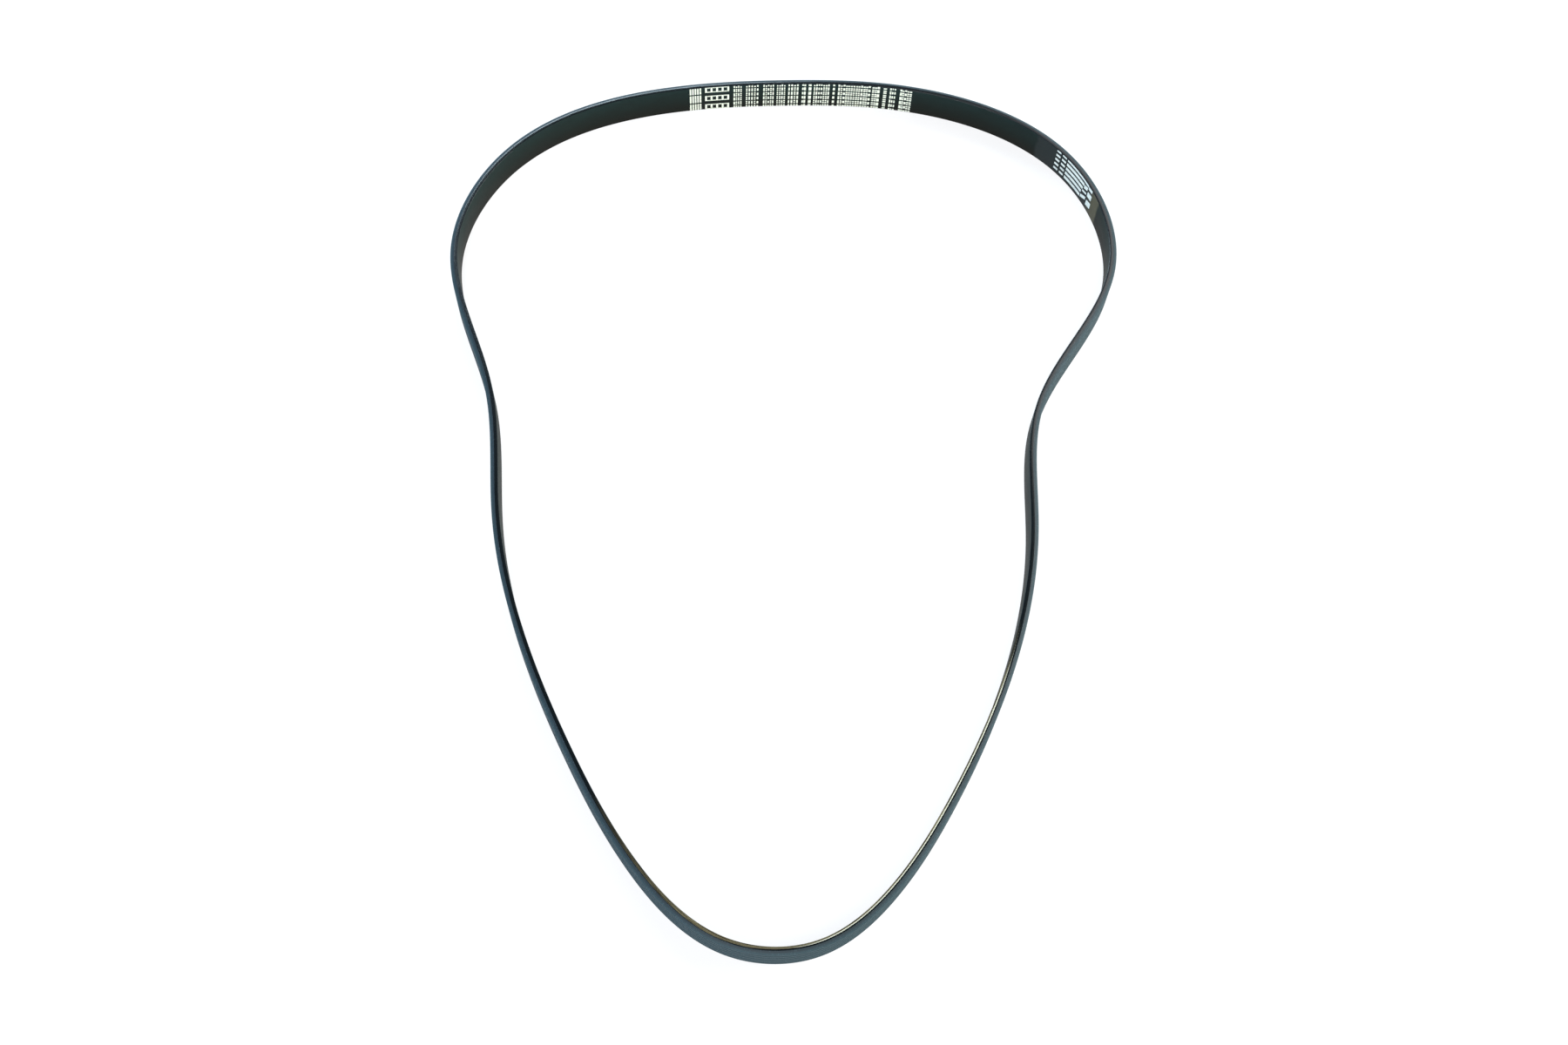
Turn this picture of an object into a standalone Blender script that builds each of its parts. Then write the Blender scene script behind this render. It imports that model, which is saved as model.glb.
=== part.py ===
"""Six-rib serpentine belt, an endless rubber belt lying free on one of its cut edges.

The belt is one piece of rubber. Its section has a smooth flat back and six V ribs, and the
two edges are cut square through the grooves beside the outer ribs. The section is swept
round a closed free loop, with the ribs on the outside and the smooth back on the inside, the
way the belt comes out of its sleeve. The loop stands on the lower edge, so its axis is +Z.
"""

import math

import bmesh
import bpy
import numpy as np
from mathutils import Vector

MM = 0.001

# Section of the belt
RIB_COUNT = 6
RIB_PITCH = 3.56 * MM
RIB_ANGLE = math.radians(40)
RIB_HEIGHT = 2.3 * MM
GROOVE_FLOOR = 0.4 * MM
RIB_TIP_RADIUS = 0.5 * MM
BODY_THICKNESS = 2.2 * MM

# Plan of the free loop: across from the middle line, and up from the toe.
# The points go anticlockwise from the crown, on the line halfway through the thickness.
LOOP_POINTS = {
    "crown": (0.007, 0.565),
    "left brow": (-0.176, 0.505),
    "left shoulder": (-0.204, 0.432),
    "left neck": (-0.176, 0.330),
    "left waist": (-0.167, 0.250),
    "left flank": (-0.118, 0.105),
    "left shin": (-0.085, 0.049),
    "left toe": (-0.032, 0.004),
    "right toe": (0.014, 0.004),
    "right heel": (0.054, 0.034),
    "right shin": (0.085, 0.079),
    "right waist": (0.141, 0.244),
    "right neck": (0.149, 0.321),
    "right shoulder": (0.202, 0.424),
    "right brow": (0.182, 0.507),
    "right crown": (0.069, 0.563),
}

# Sections round the loop. One radian of bend gets as many of them as this length of straight.
SECTION_COUNT = 148
BEND_SHARE = 300 * MM
CURVE_SAMPLES = 2400


def clear_scene():
    for item in list(bpy.data.objects):
        bpy.data.objects.remove(item, do_unlink=True)


def rubber_material():
    """Black EPDM rubber, cut and ground, so it is dull with a slight blue-grey sheen."""
    material = bpy.data.materials.new("black_rubber")
    material.use_nodes = True
    shader = material.node_tree.nodes["Principled BSDF"]
    shader.inputs["Base Color"].default_value = (0.014, 0.017, 0.019, 1.0)
    shader.inputs["Roughness"].default_value = 0.62
    shader.inputs["Metallic"].default_value = 0.0
    return material


def closed_curve_slopes(points, spans):
    """Slopes at the points for which the closed cubic curve has no jump in its bend."""
    count = len(points)
    matrix = np.zeros((count, count))
    wanted = np.zeros((count, 2))
    for here in range(count):
        before, after = here - 1, (here + 1) % count
        arriving, leaving = spans[before], spans[here]
        matrix[here, before] = leaving
        matrix[here, here] = 2 * (arriving + leaving)
        matrix[here, after] = arriving
        wanted[here] = 3 * leaving * (points[here] - points[before]) / arriving
        wanted[here] += 3 * arriving * (points[after] - points[here]) / leaving
    return np.linalg.solve(matrix, wanted)


def loop_curve():
    """Fine points along the closed curve through LOOP_POINTS, the way a bent strip lies."""
    points = np.array(list(LOOP_POINTS.values()))
    spans = np.linalg.norm(np.roll(points, -1, axis=0) - points, axis=1)
    slopes = closed_curve_slopes(points, spans)
    ends = np.concatenate([[0.0], np.cumsum(spans)])
    curve = []
    for along in np.linspace(0.0, ends[-1], CURVE_SAMPLES, endpoint=False):
        here = np.searchsorted(ends, along, side="right") - 1
        after = (here + 1) % len(points)
        share = (along - ends[here]) / spans[here]
        rest = 1 - share
        start = points[here] * (1 + 2 * share) + slopes[here] * spans[here] * share
        finish = points[after] * (1 + 2 * rest) - slopes[after] * spans[here] * rest
        curve.append(start * rest**2 + finish * share**2)
    return np.array(curve)


def loop_stations():
    """Places of the sections and the outward direction at each, closer where the loop bends."""
    curve = loop_curve()
    steps = np.roll(curve, -1, axis=0) - curve
    lengths = np.linalg.norm(steps, axis=1)
    headings = np.unwrap(np.arctan2(steps[:, 1], steps[:, 0]))
    bends = np.abs(np.diff(headings, append=headings[0] + 2 * math.pi))
    weights = lengths + BEND_SHARE * bends
    passed = np.concatenate([[0.0], np.cumsum(weights)])
    wanted = np.linspace(0.0, passed[-1], SECTION_COUNT, endpoint=False)
    closed = np.vstack([curve, curve[:1]])
    places = np.stack([np.interp(wanted, passed, closed[:, axis]) for axis in (0, 1)], axis=1)
    tangents = np.roll(places, -1, axis=0) - np.roll(places, 1, axis=0)
    tangents /= np.linalg.norm(tangents, axis=1)[:, None]
    return places, np.stack([tangents[:, 1], -tangents[:, 0]], axis=1)


def belt_section():
    """Section outline as (outward, up) points, from the back's lower corner round the ribs."""
    thickness = BODY_THICKNESS + RIB_HEIGHT
    back = -thickness / 2
    groove = back + BODY_THICKNESS
    tip = thickness / 2
    half_base = (RIB_PITCH - GROOVE_FLOOR) / 2
    half_tip = half_base - RIB_HEIGHT * math.tan(RIB_ANGLE / 2)
    corner_turn = math.pi / 2 - RIB_ANGLE / 2
    rounding = min(RIB_TIP_RADIUS * math.tan(corner_turn / 2), half_tip)
    down_flank = rounding * math.cos(RIB_ANGLE / 2)
    across_flank = rounding * math.sin(RIB_ANGLE / 2)
    half_rib = [
        (groove, half_base),
        (tip - down_flank, half_tip + across_flank),
        (tip, half_tip - rounding),
    ]
    width = RIB_COUNT * RIB_PITCH
    outline = [(back, 0.0), (groove, 0.0)]
    for rib in range(RIB_COUNT):
        middle = (rib + 0.5) * RIB_PITCH
        outline += [(out, middle - side) for out, side in half_rib]
        outline += [(out, middle + side) for out, side in reversed(half_rib)]
    return outline + [(groove, width), (back, width)]


def add_section(mesh, outline, place, outward):
    """One closed ring of the section's edges, standing across the loop at a station."""
    corners = []
    for out, up in outline:
        across = place + outward * out
        corners.append(mesh.verts.new((across[0], across[1], up)))
    return [mesh.edges.new(pair) for pair in zip(corners, corners[1:] + corners[:1])]


def centre_on_origin(mesh):
    """Moves the loop so that the middle of its box lies over the origin."""
    for axis in (0, 1):
        reach = [vertex.co[axis] for vertex in mesh.verts]
        shift = Vector((0, 0, 0))
        shift[axis] = -(min(reach) + max(reach)) / 2
        bmesh.ops.translate(mesh, verts=mesh.verts, vec=shift)


def make_belt():
    outline = belt_section()
    places, outwards = loop_stations()
    mesh = bmesh.new()
    rings = [add_section(mesh, outline, place, out) for place, out in zip(places, outwards)]
    for ring, following in zip(rings, rings[1:] + rings[:1]):
        bmesh.ops.bridge_loops(mesh, edges=ring + following)
    centre_on_origin(mesh)
    bmesh.ops.recalc_face_normals(mesh, faces=mesh.faces)
    data = bpy.data.meshes.new("serpentine_belt")
    mesh.to_mesh(data)
    mesh.free()
    data.shade_smooth()
    data.set_sharp_from_angle(angle=math.radians(25))
    data.materials.append(rubber_material())
    belt = bpy.data.objects.new("serpentine_belt", data)
    bpy.context.scene.collection.objects.link(belt)
    return belt


clear_scene()
make_belt()
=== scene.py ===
"""Looks of a six-rib serpentine belt that stands in a free loop on one cut edge.

Every piece is first modelled as on a belt that is cut open and laid out straight. Its length
runs along X, clockwise round the loop from the crown, Y points out from the smooth back
through the ribs, and Z goes up the belt's width. It is then bent round the loop that the
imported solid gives.
"""

import math
import random

import bmesh
import bpy
import numpy as np
from mathutils import Matrix, Vector


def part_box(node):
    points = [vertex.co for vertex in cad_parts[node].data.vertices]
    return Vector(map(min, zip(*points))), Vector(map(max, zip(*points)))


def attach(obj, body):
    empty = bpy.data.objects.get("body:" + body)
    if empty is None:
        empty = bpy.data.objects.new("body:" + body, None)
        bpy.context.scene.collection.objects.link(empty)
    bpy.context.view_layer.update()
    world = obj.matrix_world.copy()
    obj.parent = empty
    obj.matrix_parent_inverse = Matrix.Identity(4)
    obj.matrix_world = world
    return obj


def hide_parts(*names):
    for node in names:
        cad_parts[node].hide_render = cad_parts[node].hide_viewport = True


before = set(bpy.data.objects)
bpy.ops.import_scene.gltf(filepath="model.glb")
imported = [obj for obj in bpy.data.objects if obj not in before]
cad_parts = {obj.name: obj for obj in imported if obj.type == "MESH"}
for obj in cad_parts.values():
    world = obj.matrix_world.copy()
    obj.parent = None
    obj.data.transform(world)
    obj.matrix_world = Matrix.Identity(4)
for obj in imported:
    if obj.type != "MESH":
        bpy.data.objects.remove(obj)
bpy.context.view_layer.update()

MM = 0.001
NODE = "serpentine_belt"
BODY = "root"
UV_MAP = "belt"

# Camera, as fitted to the photograph: its place, its lean from straight down, its turn about
# the vertical, its roll, its lens and sensor in mm, and how near it sees
CAMERA_PLACE = (-0.0344, -0.4881, 0.9162)
CAMERA_LEAN = math.radians(26.69)
CAMERA_TURN = math.radians(-4.04)
CAMERA_ROLL = math.radians(4.05)
CAMERA_LENS = 40.40
CAMERA_SENSOR = 36.0
CAMERA_NEAR = 0.01

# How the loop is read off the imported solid. Corners nearer than the merge are one, an edge of
# its base counts where its two faces turn by more than this (in radians), and the curve gets so
# many steps between two of the solid's sections.
BASE_MERGE = 0.01 * MM
BASE_TURN = 1.0
CURVE_STEPS = 40

# Section of the belt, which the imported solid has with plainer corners. A rounding is a radius
# and its number of segments, and takes up no more than a share of the side next to it.
RIB_COUNT = 6
RIB_ANGLE = math.radians(40)
GROOVE_FLOOR = 0.4 * MM
TIP_ROUNDING = (0.5 * MM, 4)
GROOVE_ROUNDING = (0.25 * MM, 2)
BACK_ROUNDING = (0.18 * MM, 3)
CUT_ROUNDING = (0.08 * MM, 1)
ROUNDING_SHARE = 0.49

# Sections along the belt, the gap that closes where its ends meet, and the angle between faces
# from which their edge is shaded sharp
STATIONS = 720
SEAM_MERGE = 0.001 * MM
SHARP_ANGLE = math.radians(32)

# Order of the belt's materials
BACK, CUT, RIBS = range(3)

# The belt is this much slimmer than its box, which leaves room for what stands proud of it
EASE = 0.04 * MM

# White ink on the smooth back, in slabs that reach a little into the rubber. Places along the
# belt count from the crown, and rows count down from the upper edge. The belt is cut from a
# wide printed sleeve, so its edges cut some rows.
INK_THICKNESS = 0.05 * MM
INK_SINK = 0.03 * MM
INK_CORNER = 0.2 * MM
INK_CORNER_SEGMENTS = 2
INK_BEND_STEP = 3.0 * MM
INK_BEND_TOLERANCE = 0.0001 * MM
INK_EDGE_GAP = 0.25 * MM

# Long print: a column of barred blocks, a stretch of ladders whose rungs and rails don't quite
# touch, then rows of ticks in groups
BLOCK_ROWS = [middle * MM for middle in (2.5, 10.65, 18.8)]
BLOCK_COLUMN = (-87.7 * MM, -79.6 * MM)
BLOCK_BARS = 5
BLOCK_BAR_SHARE = 0.62
BLOCK_HEIGHT = 7.0 * MM
LADDER_STRETCH = (-77.7 * MM, -61.9 * MM)
LADDER_HEIGHT = 4.9 * MM
LADDER_RAIL = 0.8 * MM
LADDER_RUNGS = 5
LADDER_RUNG_WIDTH = 1.25 * MM
LADDER_GAP = 0.03 * MM
TICK_ROWS = [middle * MM for middle in (0.55, 4.67, 8.79, 12.91, 17.03, 21.15)]

# Groups of ticks, each as start and end in mm and the share of a step that its ticks fill
TICK_GROUPS_MM = (
    (-59.0, -53.2, 0.64),
    (-50.9, -42.0, 0.52),
    (-39.6, -32.0, 0.58),
    (-30.7, -24.6, 0.58),
    (-23.2, -15.8, 0.58),
    (-14.2, -11.6, 0.8),
    (-10.0, -7.7, 0.8),
    (-6.6, 4.2, 0.66),
    (5.9, 7.6, 0.8),
    (9.4, 30.8, 0.8),
    (31.6, 36.6, 0.86),
    (39.0, 41.2, 0.9),
    (43.2, 47.6, 0.76),
    (49.9, 57.8, 0.86),
)
TICK_STEP = 1.65 * MM
TICK_HEIGHT = 3.0 * MM

# Ticks are unevenly wide, by a factor within these limits, and each is whole, split or a little
# short, given as the spans of its height that are inked. The seed settles which is which.
TICK_SEED = 6
TICK_WIDTHS = (0.85, 1.15)
TICK_SHAPES = (
    ((0.0, 1.0),),
    ((0.0, 1.0),),
    ((0.0, 0.4), (0.6, 1.0)),
    ((0.0, 0.4), (0.6, 1.0)),
    ((0.1, 0.9),),
)

# Short print: columns of dashes, then long lines that end in smears
TRANSFER_ROWS = [middle * MM for middle in (0.7, 4.77, 8.84, 12.91, 16.98)]
MARK_COLUMNS = (162.1 * MM, 167.3 * MM)
MARK_LENGTH = 3.6 * MM
MARK_HEIGHT = 1.8 * MM
LINES_START = 172.2 * MM
LINE_ENDS = [end * MM for end in (196.0, 191.2, 190.4, 189.6, 189.2)]
LINE_HEIGHT = 2.4 * MM

# Smears, each as start, end, middle row and height in mm, and how much it climbs on its way
SMEARS_MM = (
    (191.6, 195.4, 5.0, 3.2, 0.35),
    (190.6, 195.2, 9.8, 1.7, 0.25),
    (190.0, 195.4, 14.9, 2.8, 0.5),
    (196.2, 200.8, 1.6, 2.6, 0.1),
    (196.4, 201.3, 7.4, 4.4, 0.1),
    (196.9, 202.0, 14.6, 4.8, 0.25),
)

# Patch that the transfer of the short print left: its stretch, how far its ends wander and how
# softly they fade, how much it covers, and the stretch over which it turns brown
PATCH = (145.0 * MM, 211.5 * MM)
PATCH_WANDER = 3 * MM
PATCH_FADE = 2 * MM
PATCH_COVER = 0.9
PATCH_HAZE = (196.0 * MM, 204.0 * MM)

# Tension cord that the knife laid open on the upper cut edge, with its middle this deep in from
# the back. It stands proud of the edge by less than the belt is lower than its box.
CORD_ROOM = 0.09 * MM
CORD_DEPTH = 1.12 * MM
CORD_HALF_WIDTH = 0.46 * MM
CORD_HALF_HEIGHT = 0.2 * MM
CORD_STRANDS = 3
CORD_LAY = 5.4 * MM
CORD_RELIEF = 0.02 * MM
CORD_SIDES = 14
CORD_STATIONS = 1400

# Places along the cord, and the share of its full girth that shows at each of them
CORD_START = 512 * MM
CORD_FULL = 560 * MM
CORD_THIN = 755 * MM
CORD_END = 850 * MM
CORD_GIRTHS = (0.3, 1.0, 0.8, 0.3)

# Where the cord's dark start gives way to cream and the cream to brown skin, and how far these
# places wander
CORD_DARK = (545 * MM, 585 * MM)
CORD_SKIN = (745 * MM, 765 * MM)
CORD_WANDER = 40 * MM

# Latex stripe beside the cord: how softly its sides fade, how far in from the back it reaches
# where it is widest, and how far it runs on past the cord, which is also half the length over
# which it widens
STRIPE_EDGE = 0.2 * MM
STRIPE_REACH = 2.0 * MM
STRIPE_FADE = 35 * MM

# Fabric that the back was cured against: the pitch of its threads and the length over which one
# wavers. A wave texture has one wave for each unit at the scale below.
THREAD_PITCH = 0.4 * MM
THREAD_RUN = 9 * MM
ONE_WAVE = math.pi / 10

# Sizes of the patterns along and across the belt. The fibres in the rubber are far thinner, and
# are drawn as coarse as they need to show.
BACK_CLOUDS = (14 * MM, 7 * MM)
DRAG_MARKS = (18 * MM, 0.22 * MM)
CUT_FIBRES = (0.7 * MM, 0.3 * MM)
GRIND_MARKS = (0.8 * MM, 5 * MM)
RIB_FIBRES = (0.35 * MM, 0.8 * MM)
INK_PATCHES = (2.2 * MM, 1.6 * MM)
SKIN_PATCHES = (9 * MM, 2 * MM)

# Sockets of a node that mixes two colours, by their number
FACTOR, FIRST, SECOND, MIXED = 0, 6, 7, 2

# White table, which lies just under the belt, how far from the belt the lamps' light on it
# fades, and the glow that it has before and after that
FLOOR_HALF_SIDE = 8.0
FLOOR_DROP = 0.2 * MM
FLOOR_LIT_REACH = (0.9, 2.4)
FLOOR_GLOW = (0.82, 1.0)

# Room: how much of a ray points right at the bluish side and at the bright one, how much of it
# points up at the lit part and at the dark one overhead, and the strength of these two parts
ROOM_RIGHT = (-0.4, 0.6)
ROOM_UP = (0.45, 0.88)
ROOM_STRENGTH = (1.2, 0.15)

# Lamps, each as name, place, width and height, power in watts, and colour
SOFTBOXES = (
    ("back_softbox", (-0.51, 1.59, 1.37), (1.1, 0.6), 40, "#dcf3ff"),
    ("back_right_softbox", (0.88, 1.22, 1.8), (1.05, 0.9), 7.5, "#ffffff"),
    ("front_softbox", (-0.5, -1.6, 2.0), (1.4, 1.4), 47, "#ffffff"),
    ("right_softbox", (1.9, 0.2, 1.1), (1.2, 1.0), 36, "#ffffff"),
)


def linear(hex_code):
    """An sRGB hex colour as linear red, green, blue and alpha."""
    parts = [int(hex_code[at : at + 2], 16) / 255 for at in (1, 3, 5)]
    return [p / 12.92 if p <= 0.04045 else ((p + 0.055) / 1.055) ** 2.4 for p in parts] + [1.0]


def add_node(tree, kind, sockets=None, **settings):
    """Adds a node. settings are its own, and sockets gives its inputs a value or a link."""
    node = tree.nodes.new(kind)
    for name, value in settings.items():
        setattr(node, name, value)
    for name, value in (sockets or {}).items():
        if isinstance(value, bpy.types.NodeSocket):
            tree.links.new(value, node.inputs[name])
        else:
            node.inputs[name].default_value = value
    return node


def new_material(name):
    """An empty node material with its tree and output."""
    material = bpy.data.materials.new(name)
    material.use_nodes = True
    material.node_tree.nodes.clear()
    output = add_node(material.node_tree, "ShaderNodeOutputMaterial")
    return material, material.node_tree, output


def belt_metres(tree):
    """Metres along and across the straight belt, as two links."""
    uv = add_node(tree, "ShaderNodeUVMap", uv_map=UV_MAP)
    place = add_node(tree, "ShaderNodeSeparateXYZ", {"Vector": uv.outputs[0]})
    return place.outputs["X"], place.outputs["Y"]


def belt_steps(tree, size):
    """Place on the straight belt, counted in steps of this size along and across it."""
    along, across = size
    uv = add_node(tree, "ShaderNodeUVMap", uv_map=UV_MAP)
    sockets = {"Vector": uv.outputs[0], "Scale": (1 / along, 1 / across, 1)}
    return add_node(tree, "ShaderNodeMapping", sockets).outputs[0]


class Loop:
    """The line of the back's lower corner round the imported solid, and what is set off it.

    length, width and thickness are the belt's, and body is its thickness without the ribs.
    """

    def __init__(self, node):
        lines = self.base_lines(node)
        lines.sort(key=lambda line: np.ptp(line, axis=0).sum())
        back, groove = lines
        self.body = (np.ptp(groove[:, 0]) - np.ptp(back[:, 0])) / 2
        low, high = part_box(NODE)
        self.thickness = (high.x - low.x - np.ptp(back[:, 0])) / 2 - EASE
        self.width = high.z - low.z - CORD_ROOM
        self.table(self.clockwise_from_crown(back))

    @staticmethod
    def base_lines(node):
        """The closed lines of sharp corners round the solid's base."""
        mesh = bmesh.new()
        mesh.from_mesh(node.data)
        bmesh.ops.remove_doubles(mesh, verts=mesh.verts, dist=BASE_MERGE)
        corners = [
            edge
            for edge in mesh.edges
            if max(v.co.z for v in edge.verts) < BASE_MERGE
            and edge.calc_face_angle(0) > BASE_TURN
        ]
        lines = []
        while corners:
            edge = corners[0]
            vertex = edge.verts[0]
            line = []
            while edge is not None:
                corners.remove(edge)
                line.append(vertex.co.xy[:])
                vertex = edge.other_vert(vertex)
                edge = next((e for e in vertex.link_edges if e in corners), None)
            lines.append(np.array(line))
        mesh.free()
        return lines

    @staticmethod
    def clockwise_from_crown(line):
        """The same closed line, from its farthest point and clockwise as seen from above."""
        after = np.roll(line, -1, axis=0)
        if np.sum(line[:, 0] * after[:, 1] - after[:, 0] * line[:, 1]) > 0:
            line = line[::-1]
        return np.roll(line, -int(line[:, 1].argmax()), axis=0)

    def table(self, points):
        """A fine table of the smooth closed curve through the points, by length along it.

        The curve is a cubic between each two points, with the slopes at them that let its bend
        run on without a jump.
        """
        count = len(points)
        spans = np.linalg.norm(np.roll(points, -1, axis=0) - points, axis=1)
        matrix = np.zeros((count, count))
        wanted = np.zeros((count, 2))
        for here in range(count):
            before, after = here - 1, (here + 1) % count
            arriving, leaving = spans[before], spans[here]
            matrix[here, before] += leaving
            matrix[here, here] += 2 * (arriving + leaving)
            matrix[here, after] += arriving
            wanted[here] = 3 * leaving * (points[here] - points[before]) / arriving
            wanted[here] += 3 * arriving * (points[after] - points[here]) / leaving
        slopes = np.linalg.solve(matrix, wanted)
        places = []
        for here in range(count):
            after = (here + 1) % count
            for share in np.arange(0, 1, 1 / CURVE_STEPS):
                rest = 1 - share
                start = points[here] * (1 + 2 * share) + slopes[here] * spans[here] * share
                end = points[after] * (1 + 2 * rest) - slopes[after] * spans[here] * rest
                places.append(start * rest**2 + end * share**2)
        places.append(places[0])
        places = np.array(places)
        steps = np.diff(places, axis=0)
        lengths = np.linalg.norm(steps, axis=1)
        ahead = steps / lengths[:, None]
        middle = ahead + np.roll(ahead, 1, axis=0)
        middle = np.vstack([middle, middle[:1]])
        middle /= np.linalg.norm(middle, axis=1)[:, None]
        self.along = np.concatenate([[0.0], np.cumsum(lengths)])
        self.length = self.along[-1]
        self.places = places
        self.outward = np.stack([-middle[:, 1], middle[:, 0]], axis=1)

    def bend(self, mesh):
        """Bends a bmesh that lies along the straight belt round the loop."""
        flat = np.array([v.co for v in mesh.verts])
        along = np.mod(flat[:, 0], self.length)
        along[np.isclose(flat[:, 0], self.length)] = self.length
        place = [np.interp(along, self.along, self.places[:, axis]) for axis in (0, 1)]
        out = [np.interp(along, self.along, self.outward[:, axis]) for axis in (0, 1)]
        for vertex, x, y, nx, ny in zip(mesh.verts, *place, *out):
            reach = vertex.co.y
            vertex.co = Vector((x + nx * reach, y + ny * reach, vertex.co.z))


def finish_piece(mesh, name, materials):
    """Turns a bmesh into a named object of the belt, and lets it ride on the belt's body."""
    data = bpy.data.meshes.new(name)
    mesh.to_mesh(data)
    mesh.free()
    data.shade_smooth()
    data.set_sharp_from_angle(angle=SHARP_ANGLE)
    for material in materials:
        data.materials.append(material)
    piece = bpy.data.objects.new(name, data)
    bpy.context.scene.collection.objects.link(piece)
    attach(piece, BODY)
    return piece


def rounded(corners):
    """Points along a closed outline of (out, up, radius, segments) corners, made round."""
    points = []
    count = len(corners)
    for at, (out, up, radius, segments) in enumerate(corners):
        here = Vector((out, up))
        before = Vector(corners[at - 1][:2]) - here
        after = Vector(corners[(at + 1) % count][:2]) - here
        half = before.angle(after) / 2
        room = ROUNDING_SHARE * min(before.length, after.length)
        tangent = min(radius / math.tan(half), room)
        start = before.normalized() * tangent
        end = after.normalized() * tangent
        centre = (start + end).normalized() * (tangent / math.cos(half))
        for step in range(segments + 1):
            arm = (start - centre).slerp(end - centre, step / segments)
            points.append(here + centre + arm.normalized() * (start - centre).length)
    return points


def belt_outline(loop):
    """The section with round rib tips, groove floors and corners."""
    pitch = loop.width / RIB_COUNT
    base = (pitch - GROOVE_FLOOR) / 2
    rib_height = loop.thickness - loop.body
    tip = base - rib_height * math.tan(RIB_ANGLE / 2)
    corners = [(0.0, 0.0, *BACK_ROUNDING), (loop.body, 0.0, *CUT_ROUNDING)]
    for rib in range(RIB_COUNT):
        middle = (rib + 0.5) * pitch
        corners.append((loop.body, middle - base, *GROOVE_ROUNDING))
        corners.append((loop.thickness, middle - tip, *TIP_ROUNDING))
        corners.append((loop.thickness, middle + tip, *TIP_ROUNDING))
        corners.append((loop.body, middle + base, *GROOVE_ROUNDING))
    corners.append((loop.body, loop.width, *CUT_ROUNDING))
    corners.append((0.0, loop.width, *BACK_ROUNDING))
    return rounded(corners)


def add_ring(mesh, outline, along):
    """A closed ring of edges along an outline of (out, up) points, at one place on the belt."""
    ring = [mesh.verts.new((along, point[0], point[1])) for point in outline]
    return [mesh.edges.new(pair) for pair in zip(ring, ring[1:] + ring[:1])]


def tube(outline, start, end, stations):
    """An open tube along the straight belt: a ring at each end, bridged and cut up."""
    mesh = bmesh.new()
    rings = add_ring(mesh, outline, start) + add_ring(mesh, outline, end)
    bridged = bmesh.ops.bridge_loops(mesh, edges=rings)
    bmesh.ops.subdivide_edges(
        mesh, edges=bridged["edges"], cuts=stations - 1, use_grid_fill=True
    )
    return mesh


def paint_by_section(mesh, loop):
    """Gives each face its side's finish, a UV map in metres and the share of a rib's height.

    V counts up the belt, and on the cut edges out from the back, below zero on the lower one.
    The back's finish ends a quarter of the way through its corners, and the cut edges' finish
    halfway through the corners before the ribs.
    """
    uv = mesh.loops.layers.uv.new(UV_MAP)
    rise = mesh.verts.layers.float.new("rise")
    back_end = BACK_ROUNDING[0] / 4
    cut_end = loop.body - CUT_ROUNDING[0] / 2
    for vertex in mesh.verts:
        vertex[rise] = (vertex.co.y - loop.body) / (loop.thickness - loop.body)
    for face in mesh.faces:
        centre = face.calc_center_median()
        if centre.y < back_end:
            face.material_index = BACK
        elif centre.y < cut_end:
            face.material_index = CUT
        else:
            face.material_index = RIBS
        for corner in face.loops:
            place = corner.vert.co
            across = place.z
            if face.material_index == CUT:
                across = math.copysign(place.y, centre.z - loop.width / 2)
            corner[uv].uv = (place.x, across)


def make_belt(loop, materials):
    """The whole belt: a tube of the section, bent round until its ends meet."""
    mesh = tube(belt_outline(loop), 0.0, loop.length, STATIONS)
    paint_by_section(mesh, loop)
    loop.bend(mesh)
    bmesh.ops.remove_doubles(mesh, verts=mesh.verts, dist=SEAM_MERGE)
    bmesh.ops.recalc_face_normals(mesh, faces=mesh.faces)
    belt = finish_piece(mesh, "belt", materials)
    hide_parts(NODE)


def add_ink(mesh, loop, start, end, middle, height, climb=0.0):
    """A thin slab of ink on the smooth back, about a row, as far as the belt's edges let it."""
    highest = loop.width - INK_EDGE_GAP
    low = max(loop.width - middle - height / 2, INK_EDGE_GAP)
    high = min(loop.width - middle + height / 2, highest)
    if high - low < 2 * INK_CORNER:
        return
    size = Vector((end - start, INK_THICKNESS + INK_SINK, high - low))
    centre = Vector(((start + end) / 2, (INK_SINK - INK_THICKNESS) / 2, (low + high) / 2))
    placed = Matrix.Translation(centre) @ Matrix.Diagonal((*size, 1.0))
    slab = bmesh.ops.create_cube(mesh, size=1.0, matrix=placed)
    for vertex in slab["verts"]:
        vertex.co.z = min(vertex.co.z + climb * (vertex.co.x - centre.x), highest)


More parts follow.
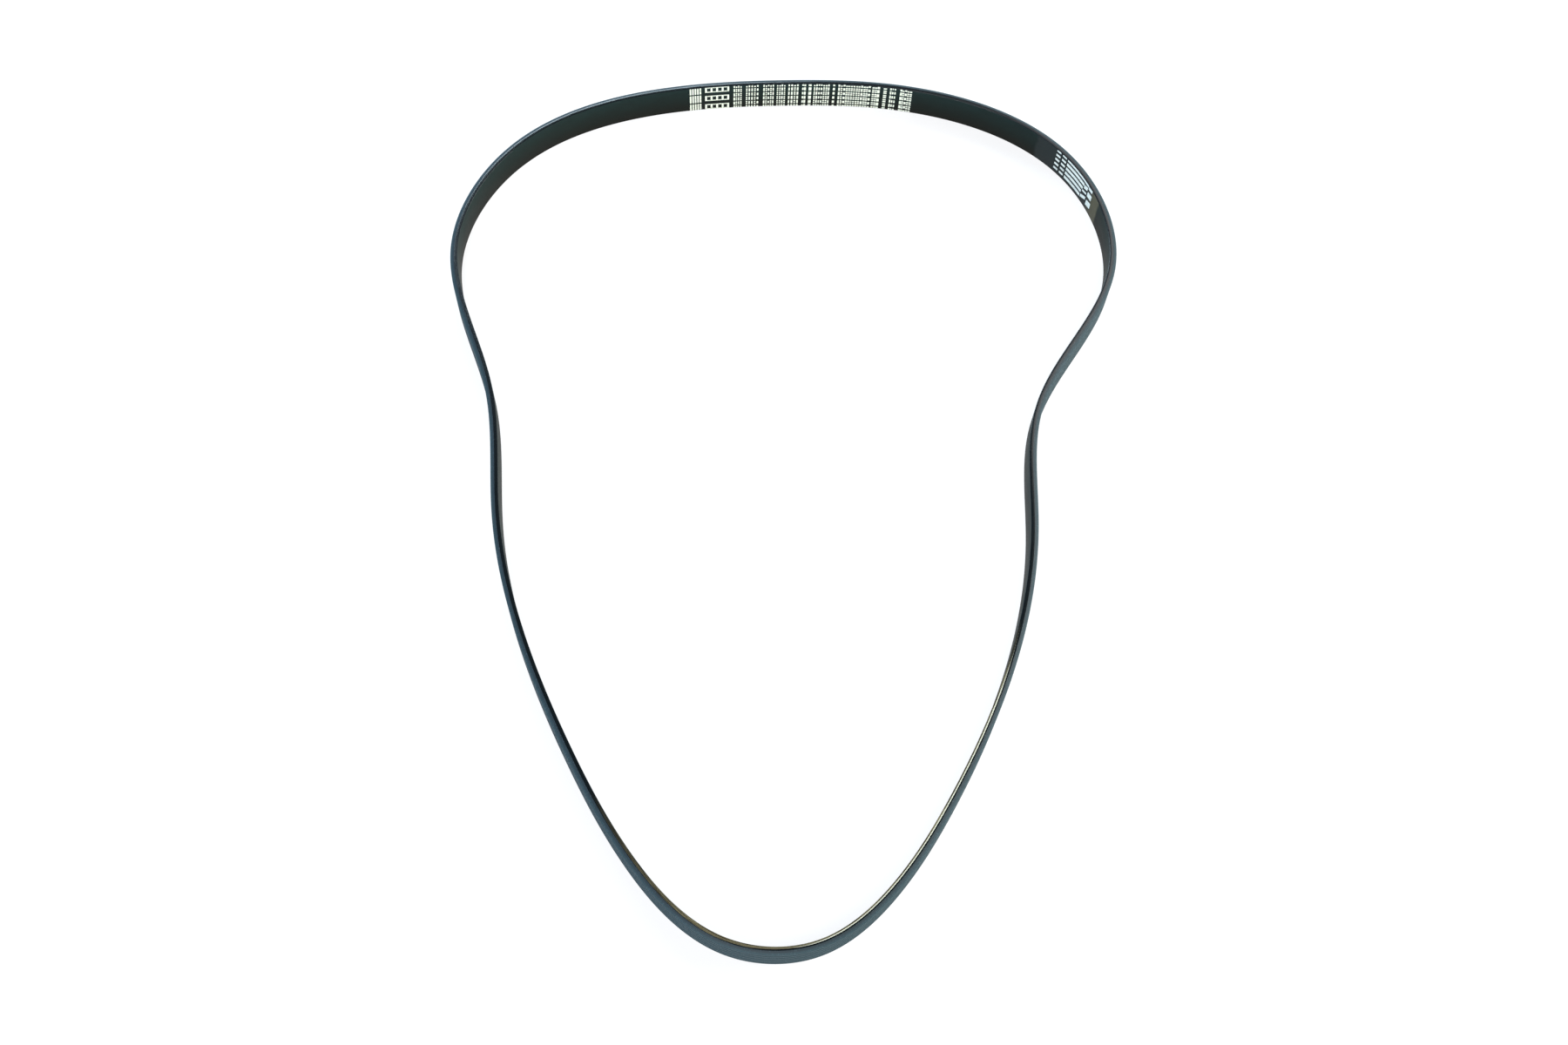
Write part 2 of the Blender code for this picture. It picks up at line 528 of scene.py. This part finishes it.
def finish_ink(mesh, loop, name, material):
    """Rounds the slabs' corners, cuts the long ones so that they bend, and bends them.

    The faces are turned outward while the slabs are straight, where that is sure to work.
    """
    corners = [
        edge
        for edge in mesh.edges
        if abs(edge.verts[0].co.y - edge.verts[1].co.y) > INK_THICKNESS / 2
    ]
    bmesh.ops.bevel(
        mesh,
        geom=corners,
        offset=INK_CORNER,
        offset_type="OFFSET",
        segments=INK_CORNER_SEGMENTS,
        profile=0.5,
        affect="EDGES",
        material=-1,
    )
    reach = [v.co.x for v in mesh.verts]
    for cut in np.arange(min(reach) + INK_BEND_STEP, max(reach), INK_BEND_STEP):
        bmesh.ops.bisect_plane(
            mesh,
            geom=mesh.verts[:] + mesh.edges[:] + mesh.faces[:],
            dist=INK_BEND_TOLERANCE,
            plane_co=(cut, 0, 0),
            plane_no=(1, 0, 0),
        )
    uv = mesh.loops.layers.uv.new(UV_MAP)
    for face in mesh.faces:
        for corner in face.loops:
            corner[uv].uv = (corner.vert.co.x, corner.vert.co.z)
    bmesh.ops.recalc_face_normals(mesh, faces=mesh.faces)
    loop.bend(mesh)
    finish_piece(mesh, name, [material])


def add_block(mesh, loop, middle):
    """A plain block of upright bars, about a row."""
    first, last = BLOCK_COLUMN
    step = (last - first) / BLOCK_BARS
    for bar in range(BLOCK_BARS):
        start = first + bar * step
        add_ink(mesh, loop, start, start + BLOCK_BAR_SHARE * step, middle, BLOCK_HEIGHT)


def add_ladder(mesh, loop, middle):
    """A plain ladder about a row: rungs, with the two rails in pieces between them."""
    first, last = LADDER_STRETCH
    step = (last - first - LADDER_RUNG_WIDTH) / (LADDER_RUNGS - 1)
    for rung in range(LADDER_RUNGS):
        start = first + rung * step
        add_ink(mesh, loop, start, start + LADDER_RUNG_WIDTH, middle, LADDER_HEIGHT)
    for gap in range(LADDER_RUNGS - 1):
        start = first + gap * step + LADDER_RUNG_WIDTH + LADDER_GAP
        end = first + (gap + 1) * step - LADDER_GAP
        for side in (-1, 1):
            rail = middle + side * (LADDER_HEIGHT - LADDER_RAIL) / 2
            add_ink(mesh, loop, start, end, rail, LADDER_RAIL)


def add_ticks(mesh, loop):
    """The groups of plain ticks, each tick alike in all rows."""
    dice = random.Random(TICK_SEED)
    for first, last, filled in TICK_GROUPS_MM:
        count = max(1, round((last - first) * MM / TICK_STEP))
        step = (last - first) * MM / count
        for tick in range(count):
            start = first * MM + tick * step
            end = start + step * filled * dice.uniform(*TICK_WIDTHS)
            for low, high in dice.choice(TICK_SHAPES):
                for row in TICK_ROWS:
                    middle = row + ((low + high) / 2 - 0.5) * TICK_HEIGHT
                    add_ink(mesh, loop, start, end, middle, (high - low) * TICK_HEIGHT)


def make_long_print(loop, material):
    """Plain blocks, ladders and ticks where the long print lies, with its rhythm of gaps."""
    mesh = bmesh.new()
    for middle in BLOCK_ROWS:
        add_block(mesh, loop, middle)
        add_ladder(mesh, loop, middle)
    add_ticks(mesh, loop)
    finish_ink(mesh, loop, "crown_print", material)


def make_short_print(loop, material):
    """Two columns of plain dashes and five long lines that run out in smears of ink."""
    mesh = bmesh.new()
    for row, end in zip(TRANSFER_ROWS, LINE_ENDS):
        for column in MARK_COLUMNS:
            add_ink(mesh, loop, column, column + MARK_LENGTH, row, MARK_HEIGHT)
        add_ink(mesh, loop, LINES_START, end, row, LINE_HEIGHT)
    for start, end, middle, height, climb in SMEARS_MM:
        add_ink(mesh, loop, start * MM, end * MM, middle * MM, height * MM, climb)
    finish_ink(mesh, loop, "transfer_print", material)


def make_cord(loop, material):
    """The twisted tension cord, sliced lengthwise, where it lies open in the cut edge.

    Its faces are turned outward while it is straight, where that is sure to work.
    """
    turns = [2 * math.pi * side / CORD_SIDES for side in range(CORD_SIDES)]
    outline = [(math.cos(turn), math.sin(turn)) for turn in turns]
    mesh = tube(outline, CORD_START, CORD_END, CORD_STATIONS)
    bmesh.ops.holes_fill(mesh, edges=[edge for edge in mesh.edges if edge.is_boundary])
    uv = mesh.loops.layers.uv.new(UV_MAP)
    for face in mesh.faces:
        for corner in face.loops:
            place = corner.vert.co
            corner[uv].uv = (place.x, place.y * CORD_HALF_WIDTH)
    places = (CORD_START, CORD_FULL, CORD_THIN, CORD_END)
    for vertex in mesh.verts:
        along, out, up = vertex.co
        girth = float(np.interp(along, places, CORD_GIRTHS))
        twist = math.atan2(up, out) + 2 * math.pi * along / CORD_LAY
        relief = CORD_RELIEF * (math.cos(CORD_STRANDS * twist) - 1)
        top = loop.width + CORD_ROOM * girth - EASE / 2
        vertex.co.y = CORD_DEPTH + out * CORD_HALF_WIDTH * girth
        vertex.co.z = top - CORD_HALF_HEIGHT + up * CORD_HALF_HEIGHT + max(up, 0) * relief
    bmesh.ops.recalc_face_normals(mesh, faces=mesh.faces)
    loop.bend(mesh)
    finish_piece(mesh, "tension_cord", [material])


def smooth_back_rubber(width):
    """EPDM rubber, cured against a fabric sleeve: dark, half dull, with a faint weave.

    Painted shade makes it darker and browner towards its lower edge than the bluer upper part.
    Round the short print the transfer left a thin grey film with uneven ends, which is brown
    beyond the smears.
    """
    material, tree, output = new_material("smooth_back_rubber")
    along, across = belt_metres(tree)
    cloud = add_node(
        tree,
        "ShaderNodeTexNoise",
        {"Vector": belt_steps(tree, BACK_CLOUDS), "Scale": 1.0, "Detail": 4.0},
    )
    wander = add_node(
        tree,
        "ShaderNodeMath",
        {0: cloud.outputs["Fac"], 1: PATCH_WANDER, 2: along},
        operation="MULTIPLY_ADD",
    )
    half = (PATCH[1] - PATCH[0]) / 2
    off_centre = add_node(
        tree,
        "ShaderNodeMath",
        {0: wander.outputs[0], 1: PATCH[0] + half + PATCH_WANDER / 2},
        operation="SUBTRACT",
    )
    distance = add_node(tree, "ShaderNodeMath", {0: off_centre.outputs[0]}, operation="ABSOLUTE")
    patch = add_node(
        tree,
        "ShaderNodeMapRange",
        {
            "Value": distance.outputs[0],
            "From Min": half,
            "From Max": half - PATCH_FADE,
            "To Min": 0.0,
            "To Max": PATCH_COVER,
        },
    )
    height = add_node(
        tree,
        "ShaderNodeMapRange",
        {"Value": across, "From Min": 0.0, "From Max": width},
    )
    upper = add_node(
        tree,
        "ShaderNodeMix",
        {FACTOR: cloud.outputs["Fac"], FIRST: linear("#15201d"), SECOND: linear("#1d2e2b")},
        data_type="RGBA",
    )
    # Painted shade: the back turns darker and browner towards its lower edge, by its share of
    # the width
    mottled_and_shaded = add_node(
        tree,
        "ShaderNodeMix",
        {FACTOR: height.outputs[0], FIRST: linear("#10110a"), SECOND: upper.outputs[MIXED]},
        data_type="RGBA",
    )
    haze = add_node(
        tree,
        "ShaderNodeMapRange",
        {"Value": along, "From Min": PATCH_HAZE[0], "From Max": PATCH_HAZE[1]},
    )
    transfer = add_node(
        tree,
        "ShaderNodeMix",
        {FACTOR: haze.outputs[0], FIRST: linear("#292e2c"), SECOND: linear("#56523f")},
        data_type="RGBA",
    )
    colour = add_node(
        tree,
        "ShaderNodeMix",
        {
            FACTOR: patch.outputs[0],
            FIRST: mottled_and_shaded.outputs[MIXED],
            SECOND: transfer.outputs[MIXED],
        },
        data_type="RGBA",
    )
    roughness = add_node(
        tree,
        "ShaderNodeMapRange",
        {"Value": cloud.outputs["Fac"], "To Min": 0.45, "To Max": 0.62},
    )
    threads = [
        add_node(
            tree,
            "ShaderNodeTexWave",
            {"Vector": belt_steps(tree, size), "Scale": ONE_WAVE, "Distortion": 0.6},
            bands_direction=direction,
        ).outputs["Fac"]
        for size, direction in (
            ((THREAD_PITCH, THREAD_RUN), "X"),
            ((THREAD_RUN, THREAD_PITCH), "Y"),
        )
    ]
    weave = add_node(tree, "ShaderNodeMath", {0: threads[0], 1: threads[1]}, operation="MAXIMUM")
    imprint = add_node(
        tree,
        "ShaderNodeBump",
        {"Height": weave.outputs[0], "Strength": 0.35, "Distance": 0.02 * MM},
    )
    shader = add_node(
        tree,
        "ShaderNodeBsdfPrincipled",
        {
            "Base Color": colour.outputs[MIXED],
            "Roughness": roughness.outputs[0],
            "IOR": 1.5,
            "Specular IOR Level": 0.07,
            "Normal": imprint.outputs[0],
        },
    )
    tree.links.new(shader.outputs[0], output.inputs[0])
    return material


def cut_edge_rubber():
    """Rubber cut by a knife: dark and glossy, with drag marks along the cut.

    Where the knife laid a tension cord open, the latex that bonds it shows as a brown stripe
    with dark lines, which widens over the cut as the knife leaves the cord.
    """
    material, tree, output = new_material("cut_edge_rubber")
    along, across = belt_metres(tree)
    reach = add_node(
        tree,
        "ShaderNodeMapRange",
        {
            "Value": along,
            "From Min": CORD_THIN - STRIPE_FADE,
            "From Max": CORD_THIN + STRIPE_FADE,
            "To Min": CORD_DEPTH,
            "To Max": STRIPE_REACH,
        },
    )
    beyond = add_node(
        tree,
        "ShaderNodeMath",
        {0: across, 1: reach.outputs[0]},
        operation="SUBTRACT",
    )
    limits = [
        add_node(tree, "ShaderNodeMapRange", {"Value": value, "From Min": out, "From Max": full})
        for value, out, full in (
            (along, CORD_START, CORD_FULL),
            (along, CORD_END + STRIPE_FADE, CORD_THIN + STRIPE_FADE),
            (across, 0.0, STRIPE_EDGE),
            (beyond.outputs[0], 0.0, -STRIPE_EDGE),
        )
    ]
    stripe = limits[0]
    for limit in limits[1:]:
        stripe = add_node(
            tree,
            "ShaderNodeMath",
            {0: stripe.outputs[0], 1: limit.outputs[0]},
            operation="MULTIPLY",
        )
    drag = add_node(
        tree,
        "ShaderNodeTexNoise",
        {"Vector": belt_steps(tree, DRAG_MARKS), "Scale": 1.0, "Detail": 3.0},
    )
    fibres = add_node(
        tree,
        "ShaderNodeTexNoise",
        {"Vector": belt_steps(tree, CUT_FIBRES), "Scale": 1.0, "Detail": 2.0},
    )
    speck = add_node(
        tree,
        "ShaderNodeMapRange",
        {"Value": fibres.outputs["Fac"], "From Min": 0.62, "From Max": 0.72},
    )
    rubber = add_node(
        tree,
        "ShaderNodeMix",
        {FACTOR: speck.outputs[0], FIRST: linear("#070c0d"), SECOND: linear("#1a2323")},
        data_type="RGBA",
    )
    smeared = add_node(
        tree,
        "ShaderNodeMapRange",
        {"Value": drag.outputs["Fac"], "From Min": 0.44, "From Max": 0.56},
    )
    latex = add_node(
        tree,
        "ShaderNodeMix",
        {FACTOR: smeared.outputs[0], FIRST: linear("#262012"), SECOND: linear("#6a6147")},
        data_type="RGBA",
    )
    colour = add_node(
        tree,
        "ShaderNodeMix",
        {FACTOR: stripe.outputs[0], FIRST: rubber.outputs[MIXED], SECOND: latex.outputs[MIXED]},
        data_type="RGBA",
    )
    roughness = add_node(
        tree,
        "ShaderNodeMapRange",
        {"Value": drag.outputs["Fac"], "To Min": 0.08, "To Max": 0.2},
    )
    marks = add_node(
        tree,
        "ShaderNodeBump",
        {"Height": drag.outputs["Fac"], "Strength": 0.35, "Distance": 0.03 * MM},
    )
    shader = add_node(
        tree,
        "ShaderNodeBsdfPrincipled",
        {
            "Base Color": colour.outputs[MIXED],
            "Roughness": roughness.outputs[0],
            "IOR": 1.5,
            "Normal": marks.outputs[0],
        },
    )
    tree.links.new(shader.outputs[0], output.inputs[0])
    return material


def ground_rib_rubber():
    """Fibre-filled rubber, ground to shape: matt grey-black, with fine marks across the belt.

    It is darker down in the grooves and paler towards the tips of the ribs: painted shade.
    """
    material, tree, output = new_material("ground_rib_rubber")
    grind = add_node(
        tree,
        "ShaderNodeTexNoise",
        {"Vector": belt_steps(tree, GRIND_MARKS), "Scale": 1.0, "Detail": 3.0},
    )
    fibres = add_node(
        tree,
        "ShaderNodeTexNoise",
        {"Vector": belt_steps(tree, RIB_FIBRES), "Scale": 1.0, "Detail": 2.0},
    )
    speck = add_node(
        tree,
        "ShaderNodeMapRange",
        {"Value": fibres.outputs["Fac"], "From Min": 0.6, "From Max": 0.72},
    )
    rise = add_node(tree, "ShaderNodeAttribute", attribute_name="rise")
    tip = add_node(
        tree,
        "ShaderNodeMapRange",
        {"Value": rise.outputs["Fac"], "From Min": 0.25, "From Max": 1.0},
    )
    # Painted shade: darker down in the grooves between the ribs, paler towards their tips
    ground = add_node(
        tree,
        "ShaderNodeMix",
        {FACTOR: tip.outputs[0], FIRST: linear("#1e2b2f"), SECOND: linear("#2a4044")},
        data_type="RGBA",
    )
    colour = add_node(
        tree,
        "ShaderNodeMix",
        {FACTOR: speck.outputs[0], FIRST: ground.outputs[MIXED], SECOND: linear("#42565d")},
        data_type="RGBA",
    )
    marks = add_node(
        tree,
        "ShaderNodeBump",
        {"Height": grind.outputs["Fac"], "Strength": 0.4, "Distance": 0.05 * MM},
    )
    shader = add_node(
        tree,
        "ShaderNodeBsdfPrincipled",
        {
            "Base Color": colour.outputs[MIXED],
            "Roughness": 0.6,
            "IOR": 1.5,
            "Specular IOR Level": 0.35,
            "Normal": marks.outputs[0],
        },
    )
    tree.links.new(shader.outputs[0], output.inputs[0])
    return material


def printing_ink(name, full, thin):
    """White rubber ink, rolled on: matt, and patchy where it took thinly."""
    material, tree, output = new_material(name)
    cover = add_node(
        tree,
        "ShaderNodeTexNoise",
        {"Vector": belt_steps(tree, INK_PATCHES), "Scale": 1.0, "Detail": 4.0},
    )
    worn = add_node(
        tree,
        "ShaderNodeMapRange",
        {"Value": cover.outputs["Fac"], "From Min": 0.52, "From Max": 0.74},
    )
    colour = add_node(
        tree,
        "ShaderNodeMix",
        {FACTOR: worn.outputs[0], FIRST: linear(full), SECOND: linear(thin)},
        data_type="RGBA",
    )
    shader = add_node(
        tree,
        "ShaderNodeBsdfPrincipled",
        {"Base Color": colour.outputs[MIXED], "Roughness": 0.6, "IOR": 1.5},
    )
    tree.links.new(shader.outputs[0], output.inputs[0])
    return material


def polyester_cord():
    """Twisted polyester yarn, dipped in latex: brown where skin covers it, cream where bare."""
    material, tree, output = new_material("polyester_cord")
    along = belt_metres(tree)[0]
    patches = add_node(
        tree,
        "ShaderNodeTexNoise",
        {"Vector": belt_steps(tree, SKIN_PATCHES), "Scale": 1.0, "Detail": 3.0},
    )
    ragged = add_node(
        tree,
        "ShaderNodeMath",
        {0: patches.outputs["Fac"], 1: CORD_WANDER, 2: along},
        operation="MULTIPLY_ADD",
    )
    skin = add_node(
        tree,
        "ShaderNodeMapRange",
        {"Value": ragged.outputs[0], "From Min": CORD_SKIN[0], "From Max": CORD_SKIN[1]},
    )
    dark = add_node(
        tree,
        "ShaderNodeMapRange",
        {"Value": ragged.outputs[0], "From Min": CORD_DARK[1], "From Max": CORD_DARK[0]},
    )
    cream = add_node(
        tree,
        "ShaderNodeMix",
        {FACTOR: skin.outputs[0], FIRST: linear("#bcb9a3"), SECOND: linear("#463e24")},
        data_type="RGBA",
    )
    colour = add_node(
        tree,
        "ShaderNodeMix",
        {FACTOR: dark.outputs[0], FIRST: cream.outputs[MIXED], SECOND: linear("#4b4a40")},
        data_type="RGBA",
    )
    shader = add_node(
        tree,
        "ShaderNodeBsdfPrincipled",
        {"Base Color": colour.outputs[MIXED], "Roughness": 0.7, "IOR": 1.5},
    )
    tree.links.new(shader.outputs[0], output.inputs[0])
    return material


def make_camera():
    """The camera of the photograph."""
    data = bpy.data.cameras.new("camera")
    data.lens = CAMERA_LENS
    data.sensor_width = CAMERA_SENSOR
    data.clip_start = CAMERA_NEAR
    camera = bpy.data.objects.new("camera", data)
    bpy.context.scene.collection.objects.link(camera)
    turn = Matrix.Rotation(CAMERA_TURN, 4, "Z")
    lean = Matrix.Rotation(CAMERA_LEAN, 4, "X")
    roll = Matrix.Rotation(CAMERA_ROLL, 4, "Z")
    camera.matrix_world = Matrix.Translation(CAMERA_PLACE) @ turn @ lean @ roll
    bpy.context.scene.camera = camera


def make_softbox(name, place, size, power, colour):
    """A rectangular lamp that is aimed at the middle of the belt."""
    data = bpy.data.lights.new(name, "AREA")
    data.shape = "RECTANGLE"
    data.size, data.size_y = size
    data.energy = power
    data.color = linear(colour)[:3]
    lamp = bpy.data.objects.new(name, data)
    lamp.location = place
    lamp.rotation_euler = (-Vector(place)).to_track_quat("-Z", "Y").to_euler()
    bpy.context.scene.collection.objects.link(lamp)


def background_rays(tree):
    """1 for rays that should meet the plain white background, and 0 for the rest."""
    path = add_node(tree, "ShaderNodeLightPath")
    seen = path.outputs["Is Camera Ray"]
    for other in ("Is Glossy Ray", "Is Transmission Ray"):
        both = add_node(
            tree, "ShaderNodeMath", {0: seen, 1: path.outputs[other]}, operation="MAXIMUM"
        )
        seen = both.outputs[0]
    return seen


def white_table():
    """White painted board: matt for light, and nearly plain white for the camera.

    The camera still sees the shadow on it. Far from the belt, where the lamps don't reach, it
    glows by itself up to the same white.
    """
    material, tree, output = new_material("white_table")
    matt = add_node(tree, "ShaderNodeBsdfDiffuse", {"Color": linear("#e8e8e8")})
    shade = add_node(tree, "ShaderNodeBsdfDiffuse", {"Color": linear("#7a7a7a")})
    ground = add_node(tree, "ShaderNodeTexCoord")
    far = add_node(
        tree, "ShaderNodeVectorMath", {0: ground.outputs["Object"]}, operation="LENGTH"
    )
    lit = add_node(
        tree,
        "ShaderNodeMapRange",
        {
            "Value": far.outputs["Value"],
            "From Min": FLOOR_LIT_REACH[0],
            "From Max": FLOOR_LIT_REACH[1],
            "To Min": FLOOR_GLOW[0],
            "To Max": FLOOR_GLOW[1],
        },
    )
    glow = add_node(tree, "ShaderNodeEmission", {"Strength": lit.outputs[0]})
    seen = add_node(tree, "ShaderNodeAddShader", {0: shade.outputs[0], 1: glow.outputs[0]})
    mix = add_node(
        tree,
        "ShaderNodeMixShader",
        {0: background_rays(tree), 1: matt.outputs[0], 2: seen.outputs[0]},
    )
    tree.links.new(mix.outputs[0], output.inputs[0])
    return material


def make_floor():
    """The white table that the belt lies on."""
    mesh = bmesh.new()
    bmesh.ops.create_grid(mesh, x_segments=1, y_segments=1, size=FLOOR_HALF_SIDE)
    bmesh.ops.translate(mesh, verts=mesh.verts, vec=(0, 0, -FLOOR_DROP))
    data = bpy.data.meshes.new("floor")
    mesh.to_mesh(data)
    mesh.free()
    data.materials.append(white_table())
    floor = bpy.data.objects.new("floor", data)
    bpy.context.scene.collection.objects.link(floor)


def make_world():
    """A room that is bluish on the left, brighter on the right and dark overhead.

    Only the belt and the table see it, and the camera sees plain white.
    """
    world = bpy.data.worlds.new("studio")
    bpy.context.scene.world = world
    world.use_nodes = True
    tree = world.node_tree
    tree.nodes.clear()
    output = add_node(tree, "ShaderNodeOutputWorld")
    path = add_node(tree, "ShaderNodeLightPath")
    sky = add_node(tree, "ShaderNodeTexCoord")
    ray = add_node(tree, "ShaderNodeSeparateXYZ", {"Vector": sky.outputs["Generated"]})
    right = add_node(
        tree,
        "ShaderNodeMapRange",
        {"Value": ray.outputs["X"], "From Min": ROOM_RIGHT[0], "From Max": ROOM_RIGHT[1]},
    )
    sides = add_node(
        tree,
        "ShaderNodeMix",
        {FACTOR: right.outputs[0], FIRST: linear("#88b4ee"), SECOND: linear("#f6fdfc")},
        data_type="RGBA",
    )
    strength = add_node(
        tree,
        "ShaderNodeMapRange",
        {
            "Value": ray.outputs["Z"],
            "From Min": ROOM_UP[0],
            "From Max": ROOM_UP[1],
            "To Min": ROOM_STRENGTH[0],
            "To Max": ROOM_STRENGTH[1],
        },
    )
    room = add_node(
        tree,
        "ShaderNodeBackground",
        {"Color": sides.outputs[MIXED], "Strength": strength.outputs[0]},
    )
    white = add_node(tree, "ShaderNodeBackground", {"Color": linear("#ffffff")})
    mix = add_node(
        tree,
        "ShaderNodeMixShader",
        {0: path.outputs["Is Camera Ray"], 1: room.outputs[0], 2: white.outputs[0]},
    )
    tree.links.new(mix.outputs[0], output.inputs[0])


bpy.context.scene.view_settings.view_transform = "Standard"
make_camera()
make_world()
make_floor()
for softbox in SOFTBOXES:
    make_softbox(*softbox)

loop = Loop(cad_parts[NODE])
finishes = [smooth_back_rubber(loop.width), cut_edge_rubber(), ground_rib_rubber()]
make_belt(loop, finishes)
make_long_print(loop, printing_ink("roller_ink", "#ebecd4", "#abb29a"))
make_short_print(loop, printing_ink("transfer_ink", "#e3e7d9", "#b2bab0"))
make_cord(loop, polyester_cord())
